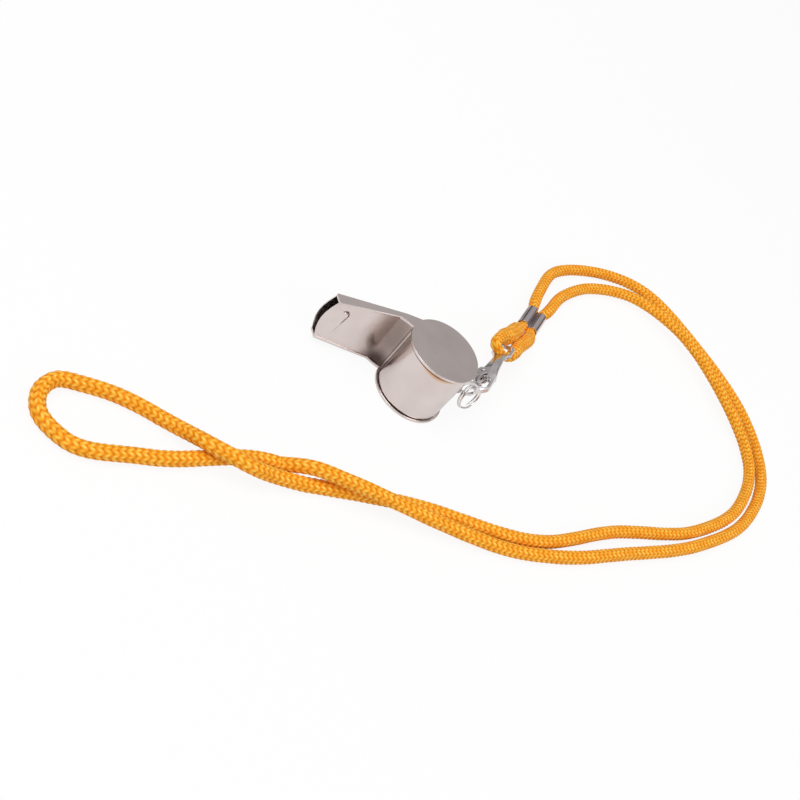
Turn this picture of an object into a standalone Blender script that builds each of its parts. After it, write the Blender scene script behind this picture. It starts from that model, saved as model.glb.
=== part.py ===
"""Metal pea whistle on a knitted neck cord, lying on a table.

Frame: metres, +Z up. The origin is on the table under the centre of the whistle's round barrel, whose
axis is Z, because the whistle lies on one of its two flat side plates. -X points along the mouthpiece and
+X to the ring lug at the back. The window is on the +Y side and the mouthpiece's underside on the -Y side.
Whistle, ring, snap clip, ferrule and cord are separate solids; pieces that move hang from an empty on
their joint's axis.
"""
import math

import bmesh
import bpy
from mathutils import Matrix, Vector

MM = 0.001

# Whistle: side plates
DISC_RADIUS = 11.5 * MM
WHISTLE_WIDTH = 20.5 * MM
PLATE_THICKNESS = 0.8 * MM
TIP_X = -34.1 * MM
TIP_TOP_Y = 8.2 * MM
TIP_UNDER_Y = 4.6 * MM
NOTCH_Y = 9.1 * MM
THROAT_X = -14.6 * MM
THROAT_UNDER_Y = 6.75 * MM
FLARE_ANGLE = math.radians(155.3)
TAPER_START_X = -12.5 * MM
TIP_INSET = 2.3 * MM
TIP_TOP_OUT = 0.35 * MM
TIP_UNDER_BACK = 0.45 * MM
TIP_STRAIGHT = 3.0 * MM
TAPER_LEAD = 4.0 * MM
WAIST_BEND = 0.9 * MM
FLARE_HOLLOW = 0.35 * MM
CORNER_RADIUS = 0.3 * MM

# Whistle: sheet parts between the side plates
JOINT_GAP = 0.3 * MM
RIM = 0.25 * MM
SHEET = 0.4 * MM
BAND_WALL = 0.6 * MM
BAND_RIM = 0.65 * MM
WINDOW_FRONT_X = -13.3 * MM
LIP_ANGLE = math.radians(127)
LIP_TAPER = math.radians(5)
BAND_END_ANGLE = math.radians(511)
FOOT_ARC = math.radians(10)
MOUTH_BULGE = 1.6 * MM

# Ring lug
LUG_THICKNESS = 0.8 * MM
LUG_FOOT_THICKNESS = 0.6 * MM
LUG_FOOT_HALF_ARC = math.radians(13)
LUG_HEIGHT = 9.8 * MM
LUG_REACH = 3.9 * MM
LUG_TIP_RADIUS = 3.0 * MM
LUG_HOLE_RADIUS = 2.2 * MM

# Pea
PEA_RADIUS = 4.75 * MM
PEA_CLEARANCE = 0.4 * MM
PEA_ANGLE = math.radians(-62)

# Split ring: where its circle passes the lug hole and the clip is told by an angle round the ring
RING_MEAN_RADIUS = 4.5 * MM
RING_WIRE = 0.62 * MM
RING_TURN_GAP = 0.3 * MM
RING_FACING = math.radians(-55.2)
RING_LEAN = math.radians(15.7)
RING_AT_LUG = math.radians(124.7)
RING_IN_LUG_HOLE = (-0.12 * MM, 0.28 * MM)
RING_AT_CLIP = math.radians(44)
RING_CROSSOVER = math.radians(40)
RING_END_GAP = math.radians(9)

# Snap clip: u runs from the hook towards the eye, v to the gate's side, w through the thickness
CLIP_HEADING = math.radians(61.5)
CLIP_PITCH = math.radians(0.5)
CLIP_ROLL = math.radians(30)
CLIP_THICKNESS = 2.9 * MM
CLIP_EYE_THICKNESS = 1.3 * MM
CLIP_CHAMFER = 0.35 * MM
OPENING_HALF_LENGTH = 2.75 * MM
OPENING_HALF_WIDTH = 1.8 * MM
HOOK_ARM = 0.95 * MM
HOOK_HALF_THICKNESS = 0.95 * MM
SHOULDER_U = 5.0 * MM
SHOULDER_HALF_WIDTH = 2.9 * MM
NECK_U = 15.6 * MM
NECK_HALF_WIDTH = 1.75 * MM
EYE_U = 20.9 * MM
EYE_HALF_LENGTH = 2.7 * MM
EYE_HALF_WIDTH = 2.35 * MM
EYE_RAIL = 0.85 * MM
HOOK_POINT_U = -0.1 * MM
RING_IN_OPENING = (-1.1 * MM, 0.1 * MM)

# Gate, a lever that straddles the body, with its pin and its spring
FIT = 0.3 * MM
PIN_FIT = 0.08 * MM
GATE_SHEET = 0.4 * MM
GATE_SIDE_GAP = 0.25 * MM
GATE_HUB_RADIUS = 1.6 * MM
GATE_WEB_START = 1.5 * MM
GATE_WEB_END = 2.85 * MM
THUMB_LENGTH = 0.9 * MM
PIN_RADIUS = 0.5 * MM
PIN_U = 4.9 * MM
PIN_V = 1.5 * MM
PIN_HEAD_RADIUS = 0.8 * MM
PIN_HEAD_HEIGHT = 0.25 * MM
SPRING_THICKNESS = 0.2 * MM
SPRING_WIDTH = 1.2 * MM
SPRING_POCKET = 1.3 * MM

# Cord and ferrule
CORD_DIAMETER = 4.3 * MM
CORD_CRIMPED = 3.1 * MM
CORD_IN_EYE = 2.8 * MM
CORD_IN_EYE_REACH = 5.0 * MM
LOOP_DIAMETER = 4.1 * MM
CORD_SPREAD = 1.7 * MM
FERRULE_AT = (52.3 * MM, 53.4 * MM)
FERRULE_HEADING = math.radians(60.1)
FERRULE_LENGTH = 11.4 * MM
FERRULE_WALL = 0.4 * MM
FERRULE_CLEARANCE = 0.3 * MM
CORD_ENTRY = 2.0 * MM
TABLE_GAP = 0.02 * MM
CORD_TURN = math.radians(38)

# Cord route, chosen by hand, in millimetres: out of the ferrule, round the far side of the table, along
# the front, over the other strand, round the loop at the left end, over again and back to the ferrule
LOW = CORD_DIAMETER / 2 / MM + TABLE_GAP / MM
MAIN_ROUTE = [
    (59.6, 73.7, LOW), (66.4, 85.3, LOW), (82.5, 95.8, LOW), (115.5, 100.3, LOW), (137.1, 80.3, LOW),
    (152.9, 51.4, LOW), (152.9, 24.1, LOW), (136.1, -2.8, LOW), (110.5, -20.6, LOW), (73.2, -36.2, LOW),
    (52.6, -43.9, LOW), (32.6, -48.2, LOW), (5.1, -48.9, 4.2), (-8.7, -48.4, 5.7), (-26.4, -47.6, 7.0),
    (-35.7, -46.6, 6.2), (-43.2, -45.5, LOW), (-79.0, -56.9, LOW), (-99.2, -59.2, LOW),
    (-105.9, -53.2, LOW), (-106.3, -47.5, LOW), (-103.4, -42.8, LOW), (-96.4, -41.3, LOW),
    (-70.1, -46.3, 3.6), (-64.2, -50.5, 6.6), (-59.4, -51.8, 6.9), (-54.3, -52.8, 6.6),
    (-47.3, -51.5, 4.2), (-35.3, -49.3, LOW), (-3.1, -44.3, LOW), (41.9, -41.8, LOW),
    (71.6, -28.5, LOW), (109.7, -15.5, LOW), (134.9, 3.1, LOW), (148.1, 29.2, LOW), (140.2, 56.5, 4.9),
    (123.2, 83.0, 5.1), (107.9, 91.7, 3.4), (87.4, 88.3, LOW), (69.3, 74.6, LOW),
]
# Eye loop, from the middle of the clip's eye in the clip's u, v and w, in millimetres: over the gate's side
# of the eye, down through it and under the other side
EYE_LOOP_ROUTE = [
    (21.5, 2.4, -5.0), (14.0, 2.4, -2.4), (8.4, 2.9, -0.2), (4.8, 3.7, 1.6), (2.0, 3.6, 2.7),
    (0.2, 2.8, 2.9), (-0.7, 1.8, 2.35), (-0.8, 0.9, 1.35), (-0.85, 0.4, 0.0), (-0.6, -0.3, -1.4),
    (0.6, -1.2, -2.4), (2.4, -1.9, -2.9), (5.0, -2.3, -3.4), (11.5, -2.4, -4.8), (20.5, -2.2, -7.4),
]

# Resolution
DISC_STEPS = 96
BAND_STEPS = 60
SHEET_STEPS = 6
RING_STEPS = 30
ROUND_STEPS = 24


def clear_scene():
    for obj in list(bpy.data.objects):
        bpy.data.objects.remove(obj, do_unlink=True)


def make_material(name, colour, roughness, metallic):
    material = bpy.data.materials.new(name)
    material.use_nodes = True
    shader = material.node_tree.nodes["Principled BSDF"]
    shader.inputs["Base Color"].default_value = (*colour, 1)
    shader.inputs["Roughness"].default_value = roughness
    shader.inputs["Metallic"].default_value = metallic
    return material


def make_empty(name, at):
    empty = bpy.data.objects.new(name, None)
    empty.empty_display_size = 5 * MM
    empty.location = at
    bpy.context.scene.collection.objects.link(empty)
    return empty


def add_object(name, data, material, pivot=None, sharp=math.radians(35)):
    """Link an object whose data is in world coordinates, hung from the empty on its joint's axis."""
    obj = bpy.data.objects.new(name, data)
    bpy.context.scene.collection.objects.link(obj)
    if isinstance(data, bpy.types.Mesh):
        data.shade_smooth()
        data.set_sharp_from_angle(angle=sharp)
    data.materials.append(material)
    if pivot:
        obj.parent = pivot
        obj.matrix_parent_inverse = Matrix.Translation(pivot.location).inverted()
    return obj


def finish_mesh(bm, name):
    bmesh.ops.recalc_face_normals(bm, faces=bm.faces)
    mesh = bpy.data.meshes.new(name)
    bm.to_mesh(mesh)
    bm.free()
    return mesh


def add_boolean(obj, other, operation="DIFFERENCE"):
    modifier = obj.modifiers.new(operation.title(), "BOOLEAN")
    modifier.operation = operation
    modifier.solver = "EXACT"
    modifier.object = other


def make_cutter(name, mesh):
    cutter = bpy.data.objects.new(name, mesh)
    cutter.hide_render = True
    cutter.display_type = "WIRE"
    bpy.context.scene.collection.objects.link(cutter)
    return cutter


def arc(radius, start, end, steps, centre=(0.0, 0.0)):
    angles = [start + (end - start) * i / steps for i in range(steps + 1)]
    return [(centre[0] + radius * math.cos(a), centre[1] + radius * math.sin(a)) for a in angles]


def prism(outline, depth, steps=1):
    """Extrude an outline in XY by depth along +Z, in equal steps."""
    bm = bmesh.new()
    face = bm.faces.new([bm.verts.new((x, y, 0)) for x, y in outline])
    for step in range(steps):
        grown = bmesh.ops.extrude_face_region(bm, geom=[face])["geom"]
        if step:
            bmesh.ops.delete(bm, geom=[face], context="FACES_ONLY")
        face = next(g for g in grown if isinstance(g, bmesh.types.BMFace))
        moved = [g for g in grown if isinstance(g, bmesh.types.BMVert)]
        bmesh.ops.translate(bm, verts=moved, vec=(0, 0, depth / steps))
    return bm


def offset_line(points, distance):
    """Shift an open line of XY points to its left by distance, with mitred corners."""
    shifted = []
    for i, point in enumerate(points):
        before = Vector(points[max(i - 1, 0)])
        after = Vector(points[min(i + 1, len(points) - 1)])
        here = Vector(point)
        ways = [w.normalized() for w in (here - before, after - here) if w.length > 0]
        along = sum(ways, Vector((0.0, 0.0))).normalized()
        left = Vector((-along.y, along.x))
        shifted.append(tuple(here + left * (distance / max(0.5, along.dot(ways[0])))))
    return shifted


def meet_circle(start, direction, radius):
    """First point where a ray from start, outside the circle round the origin, meets that circle."""
    half_b = start.dot(direction)
    gap = start.dot(start) - radius * radius
    return start + direction * (-half_b - math.sqrt(half_b * half_b - gap))


def smooth_curve(points, parts):
    """Points on a smooth curve through the given ones, parts to each stretch, its ways set by chord length."""
    padded = [2 * points[0] - points[1], *points, 2 * points[-1] - points[-2]]
    line = []
    for a, b, c, d in zip(padded, padded[1:], padded[2:], padded[3:]):
        before, here, after = (b - a).length, (c - b).length, (d - c).length
        way_in = ((b - a) * (here / before) * here + (c - b) * before) / (before + here)
        way_out = ((c - b) * after + (d - c) * (here / after) * here) / (here + after)
        for i in range(parts):
            t = i / parts
            line.append(b * (1 + 2 * t) * (1 - t) ** 2 + way_in * t * (1 - t) ** 2
                        + c * t * t * (3 - 2 * t) - way_out * t * t * (1 - t))
    return line + [points[-1]]


def thin_line(line, longest, sharpest, lifted):
    """Leave out the points of a fine line that its straights don't need, but few of those above lifted."""
    kept = [line[0]]
    travelled = 0.0
    for before, here, after in zip(line, line[1:], line[2:]):
        travelled += (here - before).length
        turned = (after - here).angle(kept[-1] - kept[-2] if len(kept) > 1 else here - kept[0], 0)
        reach = longest / 2 if here.z > lifted else longest
        if travelled >= reach or turned >= sharpest:
            kept.append(here)
            travelled = 0.0
    return kept + [line[-1]]


def tube(name, line, diameters, resolution=2):
    """A closed round tube along a line, with a diameter at each point."""
    data = bpy.data.curves.new(name, "CURVE")
    data.dimensions = "3D"
    data.bevel_depth = max(diameters) / 2
    data.bevel_resolution = resolution
    data.use_fill_caps = True
    spline = data.splines.new("POLY")
    spline.points.add(len(line) - 1)
    for point, at, diameter in zip(spline.points, line, diameters):
        point.co = (*at, 1)
        point.radius = diameter / max(diameters)
    return data


# Whistle

def top_line_y(x):
    """Height of the side plate's top edge, from the tip to the notch in front of the disc."""
    notch_x = -math.sqrt(DISC_RADIUS ** 2 - NOTCH_Y ** 2)
    return TIP_TOP_Y + (NOTCH_Y - TIP_TOP_Y) * (x - TIP_X) / (notch_x - TIP_X)


def taper(x):
    """How far the side plates lean in towards the middle of the mouthpiece at x."""
    return max(0.0, TAPER_START_X - x) * TIP_INSET / (TAPER_START_X - TIP_X)


def plate_outline():
    notch_angle = math.pi - math.asin(NOTCH_Y / DISC_RADIUS)
    disc = arc(DISC_RADIUS, notch_angle, FLARE_ANGLE - 2 * math.pi, DISC_STEPS)
    corner = CORNER_RADIUS
    under_x, top_x = TIP_X + TIP_UNDER_BACK, TIP_X - TIP_TOP_OUT
    tip = [
        (under_x + corner, TIP_UNDER_Y + under_line_slope() * corner),
        (under_x + 0.3 * corner, TIP_UNDER_Y + 0.3 * corner),
        (under_x, TIP_UNDER_Y + corner),
        (top_x, TIP_TOP_Y - corner),
        (top_x + 0.3 * corner, TIP_TOP_Y - 0.3 * corner),
        (top_x + corner, top_line_y(top_x + corner)),
    ]
    return disc + [(THROAT_X, THROAT_UNDER_Y)] + tip


def under_line_slope():
    return (THROAT_UNDER_Y - TIP_UNDER_Y) / (THROAT_X - TIP_X)


def side_plate(name, upper, material, pivot):
    bm = prism(plate_outline(), PLATE_THICKNESS)
    everything = bm.verts[:] + bm.edges[:] + bm.faces[:]
    bmesh.ops.bisect_plane(bm, geom=everything, dist=1e-6, plane_co=(TAPER_START_X, 0, 0),
                           plane_no=(1, 0, 0))
    for vert in bm.verts:
        if upper:
            vert.co.z += WHISTLE_WIDTH - PLATE_THICKNESS - taper(vert.co.x)
        else:
            vert.co.z += taper(vert.co.x)
    return add_object(name, finish_mesh(bm, name), material, pivot)


def spread_between_plates(bm, bulge_at=None):
    """Stretch a prism of unit depth to the room between the side plates, and bow its end at the mouth."""
    for vert in bm.verts:
        share, x = vert.co.z, vert.co.x
        low = PLATE_THICKNESS + JOINT_GAP + taper(x)
        vert.co.z = low + (WHISTLE_WIDTH - 2 * low) * share
        if bulge_at is not None and x < bulge_at:
            vert.co.x -= MOUTH_BULGE * (1 - (2 * share - 1) ** 2)


def sheet_part(name, profile, steps, material, pivot, bulge_at=None):
    bm = prism(profile, 1.0, steps)
    everything = bm.verts[:] + bm.edges[:] + bm.faces[:]
    bmesh.ops.bisect_plane(bm, geom=everything, dist=1e-6, plane_co=(TAPER_START_X, 0, 0),
                           plane_no=(1, 0, 0))
    spread_between_plates(bm, bulge_at)
    return add_object(name, finish_mesh(bm, name), material, pivot)


def band_outer():
    return DISC_RADIUS - BAND_RIM


def band_inner():
    return band_outer() - BAND_WALL


def barrel_band(material, pivot):
    outer = arc(band_outer(), LIP_ANGLE, BAND_END_ANGLE - 4 * math.pi, BAND_STEPS)
    inner = arc(band_inner(), BAND_END_ANGLE - 4 * math.pi, LIP_ANGLE - LIP_TAPER, BAND_STEPS)
    return sheet_part("barrel_band", outer + inner, 1, material, pivot)


def mouthpiece_top_plate(material, pivot):
    xs = [TIP_X - TIP_TOP_OUT, TIP_X + TIP_STRAIGHT, TAPER_START_X - TAPER_LEAD, WINDOW_FRONT_X]
    outer = [(x, top_line_y(x) - RIM) for x in xs]
    inner = [(x, y - SHEET) for x, y in reversed(outer)]
    return sheet_part("mouthpiece_top_plate", outer + inner, SHEET_STEPS, material, pivot, TIP_X + MM)


def mouthpiece_underside_plate(material, pivot):
    """From the mouth to the throat, flaring out to a ridge and lapping down on the barrel band."""
    throat = Vector((THROAT_X, THROAT_UNDER_Y))
    landing = Vector((DISC_RADIUS * math.cos(FLARE_ANGLE), DISC_RADIUS * math.sin(FLARE_ANGLE)))
    along = (landing - throat).normalized()
    inset = throat + Vector((-along.y, along.x)) * RIM
    foot_radius = band_outer() + JOINT_GAP + SHEET
    ridge = meet_circle(inset, along, foot_radius)
    ridge_angle = math.atan2(ridge.y, ridge.x)
    foot = arc(foot_radius, ridge_angle, ridge_angle + FOOT_ARC, 4)
    bend = WAIST_BEND
    waist = [
        (THROAT_X - 1.6 * bend, THROAT_UNDER_Y + RIM - 1.6 * bend * under_line_slope()),
        (THROAT_X - 0.4 * bend, THROAT_UNDER_Y + RIM - 0.12 * bend),
    ]
    inward = Vector((-along.y, along.x))
    for share in (0.14, 0.32, 0.52, 0.76):
        hollow = 4 * FLARE_HOLLOW * share * (1 - share)
        waist.append(tuple(inset.lerp(ridge, share) + inward * hollow))
    start = [(x, TIP_UNDER_Y + RIM + (x - TIP_X) * under_line_slope())
             for x in (TIP_X + TIP_UNDER_BACK, TIP_X + TIP_STRAIGHT)]
    outer = start + waist + foot
    inner = offset_line(outer, SHEET)
    return sheet_part("mouthpiece_underside_plate", outer + inner[::-1], SHEET_STEPS, material, pivot,
                      TIP_X + MM)


def lug_hole():
    return Vector((DISC_RADIUS + LUG_REACH, 0, WHISTLE_WIDTH / 2))


def ring_lug(material, pivot):
    """A flat ear with a hole, on a curved foot that follows the barrel."""
    hole = lug_hole()
    foot_inner = band_outer() + JOINT_GAP
    foot_outer = foot_inner + LUG_FOOT_THICKNESS
    half = LUG_HEIGHT / 2
    run = hole.x - foot_inner
    lean = math.atan2(half - LUG_TIP_RADIUS, run) + 0.12
    nose = arc(LUG_TIP_RADIUS, -math.pi / 2 - lean, math.pi / 2 + lean, ROUND_STEPS // 2, (hole.x, 0))
    root_x = foot_inner + LUG_FOOT_THICKNESS / 2
    ear = prism([(root_x, -half), *nose, (root_x, half)], LUG_THICKNESS)
    bmesh.ops.translate(ear, verts=ear.verts, vec=(0, 0, -LUG_THICKNESS / 2))
    bmesh.ops.rotate(ear, verts=ear.verts, matrix=Matrix.Rotation(math.pi / 2, 3, "X"))
    bmesh.ops.translate(ear, verts=ear.verts, vec=(0, 0, hole.z))
    lug = add_object("ring_lug", finish_mesh(ear, "ring_lug"), material, pivot)
    outline = arc(foot_outer, -LUG_FOOT_HALF_ARC, LUG_FOOT_HALF_ARC, 6)
    outline += arc(foot_inner, LUG_FOOT_HALF_ARC, -LUG_FOOT_HALF_ARC, 6)
    foot = prism(outline, LUG_HEIGHT + MM)
    bmesh.ops.translate(foot, verts=foot.verts, vec=(0, 0, hole.z - half - MM / 2))
    add_boolean(lug, make_cutter("lug_foot_shape", finish_mesh(foot, "lug_foot_shape")), "UNION")
    bore = bmesh.new()
    bmesh.ops.create_cone(bore, cap_ends=True, segments=ROUND_STEPS, radius1=LUG_HOLE_RADIUS,
                          radius2=LUG_HOLE_RADIUS, depth=4 * LUG_THICKNESS)
    bmesh.ops.rotate(bore, verts=bore.verts, matrix=Matrix.Rotation(math.pi / 2, 3, "X"))
    bmesh.ops.translate(bore, verts=bore.verts, vec=hole)
    add_boolean(lug, make_cutter("lug_hole_shape", finish_mesh(bore, "lug_hole_shape")))
    return lug


def pea(material, pivot):
    orbit = band_inner() - PEA_RADIUS - PEA_CLEARANCE
    bm = bmesh.new()
    bmesh.ops.create_uvsphere(bm, u_segments=ROUND_STEPS, v_segments=14, radius=PEA_RADIUS)
    at = (orbit * math.cos(PEA_ANGLE), orbit * math.sin(PEA_ANGLE),
          PLATE_THICKNESS + JOINT_GAP + PEA_RADIUS)
    bmesh.ops.translate(bm, verts=bm.verts, vec=at)
    return add_object("pea", finish_mesh(bm, "pea"), material, pivot, math.radians(60))


# Split ring

def ring_frame():
    """The ring's normal and the two directions in its plane: level, and up its slope."""
    normal = Vector((math.cos(RING_FACING) * math.cos(RING_LEAN),
                     math.sin(RING_FACING) * math.cos(RING_LEAN), math.sin(RING_LEAN)))
    level = Vector((0, 0, 1)).cross(normal).normalized()
    return normal, level, normal.cross(level)


def ring_centre():
    _, level, slope = ring_frame()
    at_lug = level * math.cos(RING_AT_LUG) + slope * math.sin(RING_AT_LUG)
    x, z = RING_IN_LUG_HOLE
    return lug_hole() + Vector((x, 0, z)) - at_lug * RING_MEAN_RADIUS


def ring_at_clip():
    _, level, slope = ring_frame()
    at_clip = level * math.cos(RING_AT_CLIP) + slope * math.sin(RING_AT_CLIP)
    return ring_centre() + at_clip * RING_MEAN_RADIUS


def split_ring(material, pivot):
    """Two flat turns of one wire, with a crossover from one turn to the other between its two ends."""
    normal, level, slope = ring_frame()
    centre = ring_centre()
    pitch = RING_WIRE + RING_TURN_GAP
    seam = math.radians(-100)
    start = RING_CROSSOVER / 2 + RING_END_GAP
    stop = 4 * math.pi - start
    line = []
    for i in range(2 * RING_STEPS + 1):
        angle = start + (stop - start) * i / (2 * RING_STEPS)
        share = (angle - 2 * math.pi + RING_CROSSOVER / 2) / RING_CROSSOVER
        share = min(1.0, max(0.0, share))
        side = pitch * (share * share * (3 - 2 * share) - 0.5)
        turn = angle + seam
        line.append(centre + normal * side
                    + (level * math.cos(turn) + slope * math.sin(turn)) * RING_MEAN_RADIUS)
    return add_object("split_ring", tube("split_ring", line, [RING_WIRE] * len(line)), material, pivot)


# Snap clip

def clip_frame():
    """Matrix from the clip's u, v, w to the world; the origin is the middle of the hook's opening."""
    along = Vector((math.cos(CLIP_HEADING) * math.cos(CLIP_PITCH),
                    math.sin(CLIP_HEADING) * math.cos(CLIP_PITCH), math.sin(CLIP_PITCH)))
    flat_left = Vector((0, 0, 1)).cross(along).normalized()
    flat_up = along.cross(flat_left)
    left = flat_left * math.cos(CLIP_ROLL) - flat_up * math.sin(CLIP_ROLL)
    up = along.cross(left)
    u, v = RING_IN_OPENING
    origin = ring_at_clip() - along * u - left * v
    return Matrix.Translation(origin) @ Matrix((along, left, up)).transposed().to_4x4()


def clip_half_thickness(u):
    """The hook is thin, the body full, and the eye tapers again."""
    if u < OPENING_HALF_LENGTH:
        return HOOK_HALF_THICKNESS
    if u < SHOULDER_U:
        share = (u - OPENING_HALF_LENGTH) / (SHOULDER_U - OPENING_HALF_LENGTH)
        return HOOK_HALF_THICKNESS + (CLIP_THICKNESS / 2 - HOOK_HALF_THICKNESS) * share
    share = min(1.0, max(0.0, (u - SHOULDER_U) / (NECK_U - SHOULDER_U)))
    return CLIP_THICKNESS / 2 + (CLIP_EYE_THICKNESS - CLIP_THICKNESS) / 2 * share


def clip_outline():
    """Hook, body with its shoulder, neck and eye, as one outline in u and v."""
    length, width = OPENING_HALF_LENGTH, OPENING_HALF_WIDTH
    outer = width + HOOK_ARM
    bow = length - width
    hook_outside = arc(outer, math.pi * 1.5, math.pi * 0.5, 12, (-bow, 0))
    point = [(HOOK_POINT_U - 0.3 * MM, outer), (HOOK_POINT_U, outer - 0.25 * MM), (HOOK_POINT_U, width)]
    hook_inside = arc(width, math.pi * 0.5, math.pi * 1.5, 12, (-bow, 0))
    eye_outer = EYE_HALF_WIDTH + EYE_RAIL
    eye_end = EYE_U + EYE_HALF_LENGTH + EYE_RAIL
    eye_start = EYE_U - EYE_HALF_LENGTH - EYE_RAIL
    round_off = 1.3 * MM
    right = [
        (eye_start, -NECK_HALF_WIDTH - 0.5 * MM), (eye_start + round_off, -eye_outer),
        (eye_end - round_off, -eye_outer), (eye_end - 0.35 * round_off, -eye_outer + 0.35 * round_off),
        (eye_end, -eye_outer + round_off),
    ]
    eye = right + [(u, -v) for u, v in reversed(right)]
    shoulder = SHOULDER_HALF_WIDTH
    body_left = [(NECK_U, NECK_HALF_WIDTH), (SHOULDER_U + 4 * MM, shoulder - 0.7 * MM),
                 (SHOULDER_U, shoulder), (SHOULDER_U - 1.2 * MM, shoulder - 0.2 * MM)]
    throat = [(length + 0.5 * MM, width - 0.5 * MM), (length + 0.5 * MM, -width + 1.1 * MM),
              (length - 0.6 * MM, -width)]
    body_right = [(length, -outer), (SHOULDER_U, -shoulder), (SHOULDER_U + 4 * MM, -shoulder + 0.7 * MM),
                  (NECK_U, -NECK_HALF_WIDTH)]
    return hook_outside + point + hook_inside + throat[::-1] + body_left[::-1] + eye[::-1] + body_right[::-1]


def clip_solid(outline, half_thickness):
    """A prism between -w and +w whose half thickness follows u."""
    bm = prism(outline, 2.0)
    for u in (OPENING_HALF_LENGTH, SHOULDER_U, NECK_U):
        everything = bm.verts[:] + bm.edges[:] + bm.faces[:]
        bmesh.ops.bisect_plane(bm, geom=everything, dist=1e-6, plane_co=(u, 0, 0), plane_no=(1, 0, 0))
    for vert in bm.verts:
        vert.co.z = (vert.co.z - 1) * half_thickness(vert.co.x)
    return bm


def rounded_slot(u_low, u_high, v_low, v_high, depth, radius):
    """A prism with round corners, centred on w = 0."""
    outline = []
    for (u, v), start in (((u_high - radius, v_high - radius), 0), ((u_low + radius, v_high - radius), 90),
                          ((u_low + radius, v_low + radius), 180), ((u_high - radius, v_low + radius), 270)):
        outline += arc(radius, math.radians(start), math.radians(start + 90), 4, (u, v))
    bm = prism(outline, depth)
    bmesh.ops.translate(bm, verts=bm.verts, vec=(0, 0, -depth / 2))
    return bm


def round_bar(radius, low, high, at=(0.0, 0.0), steps=ROUND_STEPS):
    bm = bmesh.new()
    bmesh.ops.create_cone(bm, cap_ends=True, segments=steps, radius1=radius, radius2=radius,
                          depth=high - low)
    bmesh.ops.translate(bm, verts=bm.verts, vec=(*at, (high + low) / 2))
    return bm


def gate_inside():
    return CLIP_THICKNESS / 2 + GATE_SIDE_GAP


def clip_body(material, frame):
    bm = clip_solid(clip_outline(), clip_half_thickness)
    rims = [e for e in bm.edges if len(e.link_faces) == 2 and e.calc_face_angle(0) > math.radians(60)
            and abs(abs(e.verts[0].co.z) - clip_half_thickness(e.verts[0].co.x)) < 1e-7
            and abs(abs(e.verts[1].co.z) - clip_half_thickness(e.verts[1].co.x)) < 1e-7
            and e.verts[0].co.z * e.verts[1].co.z > 0]
    bmesh.ops.bevel(bm, geom=rims, offset=CLIP_CHAMFER, segments=1, profile=0.5, affect="EDGES",
                    clamp_overlap=True, material=-1)
    bmesh.ops.transform(bm, matrix=frame, verts=bm.verts)
    body = add_object("clip_body", finish_mesh(bm, "clip_body"), material)
    deep = 4 * CLIP_THICKNESS
    pocket = OPENING_HALF_LENGTH + SPRING_POCKET
    cuts = {
        "clip_eye_shape": rounded_slot(EYE_U - EYE_HALF_LENGTH, EYE_U + EYE_HALF_LENGTH,
                                       -EYE_HALF_WIDTH, EYE_HALF_WIDTH, deep, 0.9 * MM),
        "clip_pocket_shape": rounded_slot(OPENING_HALF_LENGTH, pocket, -0.5 * MM, 1.0 * MM,
                                          SPRING_WIDTH + 2 * FIT, 0.4 * MM),
        "clip_pin_hole_shape": round_bar(PIN_RADIUS + PIN_FIT, -deep, deep, (PIN_U, PIN_V)),
    }
    for name, shape in cuts.items():
        bmesh.ops.transform(shape, matrix=frame, verts=shape.verts)
        add_boolean(body, make_cutter(name, finish_mesh(shape, name)))
    return body


def clip_gate(material, frame, pivot):
    """A lever from its hub on the pin to the hook's point: two cheeks over the body, a web and a thumb nub."""
    tip = HOOK_POINT_U + FIT
    inside = OPENING_HALF_WIDTH
    outside = inside + HOOK_ARM
    start, end = GATE_WEB_START, GATE_WEB_END
    hub = arc(GATE_HUB_RADIUS, math.radians(90), math.radians(-150), 14, (PIN_U, PIN_V))
    bar = [
        (start, inside - 0.35 * MM), (start, inside), (tip, inside), (tip, outside - 0.25 * MM),
        (tip + 0.3 * MM, outside), (start + 0.4 * MM, outside), (start + 0.7 * MM, outside + THUMB_LENGTH),
        (end - 0.2 * MM, outside + THUMB_LENGTH), (end + 0.3 * MM, outside + 0.4 * MM),
    ]
    half = gate_inside() + GATE_SHEET
    bm = prism(hub + bar, 2 * half)
    bmesh.ops.translate(bm, verts=bm.verts, vec=(0, 0, -half))
    bmesh.ops.transform(bm, matrix=frame, verts=bm.verts)
    gate = add_object("clip_gate", finish_mesh(bm, "clip_gate"), material, pivot)
    side = half - HOOK_HALF_THICKNESS
    cuts = {
        "gate_mouth_shape": rounded_slot(end, PIN_U + 6 * MM, -6 * MM, 8 * MM, 2 * gate_inside(), 0.5 * MM),
        "gate_bore_shape": round_bar(PIN_RADIUS + PIN_FIT, -2 * half, 2 * half, (PIN_U, PIN_V)),
    }
    for way in (-1, 1):
        thin = rounded_slot(tip - 3 * MM, start, -6 * MM, 8 * MM, side + MM, 0.2 * MM)
        bmesh.ops.translate(thin, verts=thin.verts, vec=(0, 0, way * (HOOK_HALF_THICKNESS + (side + MM) / 2)))
        cuts["gate_point_shape_" + ("low" if way < 0 else "high")] = thin
    for name, shape in cuts.items():
        bmesh.ops.transform(shape, matrix=frame, verts=shape.verts)
        add_boolean(gate, make_cutter(name, finish_mesh(shape, name)))
    return gate


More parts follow.
